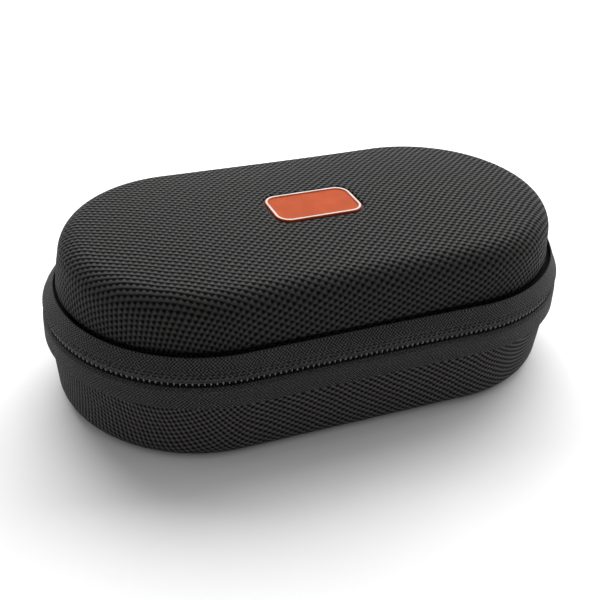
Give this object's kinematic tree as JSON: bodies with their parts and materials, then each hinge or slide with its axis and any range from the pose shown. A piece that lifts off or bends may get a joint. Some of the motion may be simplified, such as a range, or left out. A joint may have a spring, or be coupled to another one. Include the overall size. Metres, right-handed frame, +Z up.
{
  "type": "dermatoscope case",
  "caption": "Moulded round-ended zip case with a fabric-hinged lid, pressed foam walls and a foam insert hollowed for a hand-held skin scope.",
  "frame": {"origin": "centre of the flat underside, on the surface that the case stands on", "axes": "+X along the case, +Y towards the hinge at the back, +Z up, towards the lid"},
  "size_m": [0.19, 0.106, 0.0622],
  "materials": {
    "skin_base": "coarse ballistic weave, moulded",
    "skin_lid": "coarse ballistic weave, moulded",
    "foam": "closed-cell foam, cut face",
    "lining": "brushed knit",
    "binding": "ribbed binding tape",
    "insert": "open-cell foam",
    "tape": "fine herringbone twill tape",
    "coil": "drawn polyester coil",
    "welt": "folded twill",
    "stop_metal": "black, pressed",
    "slider_metal": "black enamel, satin",
    "badge": "moulded soft plastic, satin"
  },
  "bodies": {
    "base": {"base_cover": "skin_base", "base_shell": "foam", "base_lining": "lining", "base_binding": "binding", "foam_tray": "insert", "lower_zip_tape": "tape", "lower_zip_coil": "coil", "base_welt": "welt", "hinge_strip": "tape", "hinge_liner": "binding", "upper_tape_end": "tape", "upper_coil_end": "coil", "top_stop": "stop_metal", "bottom_stop": "stop_metal"},
    "lid": {"lid_cover": "skin_lid", "lid_shell": "foam", "lid_lining": "lining", "lid_binding": "binding", "lid_pad": "insert", "lid_welt": "welt", "badge": "badge", "upper_zip_tape": "tape", "upper_zip_coil": "coil"},
    "slider": {"zip_slider": "slider_metal", "slider_back_plate": "slider_metal"},
    "pull": {"zip_pull": "slider_metal"}
  },
  "joints": [
    {"name": "lid_hinge", "type": "hinge", "parent": "base", "child": "lid", "pos_m": [0, 0.0533, 0.033], "axis": [-1, 0, 0], "range_deg": [0, 180], "deforming": ["hinge_strip", "hinge_liner", "upper_tape_end", "upper_coil_end"]},
    {"name": "slider_travel", "type": "hinge", "parent": "base", "child": "slider", "pos_m": [0.042, 0, 0.033], "axis": [0, 0, -1], "range_deg": [0, 140]},
    {"name": "pull_swing", "type": "hinge", "parent": "slider", "child": "pull", "pos_m": [0.07045, 0.04928, 0.033], "axis": [0.866, -0.5, 0], "range_deg": [-8, 170]}
  ]
}
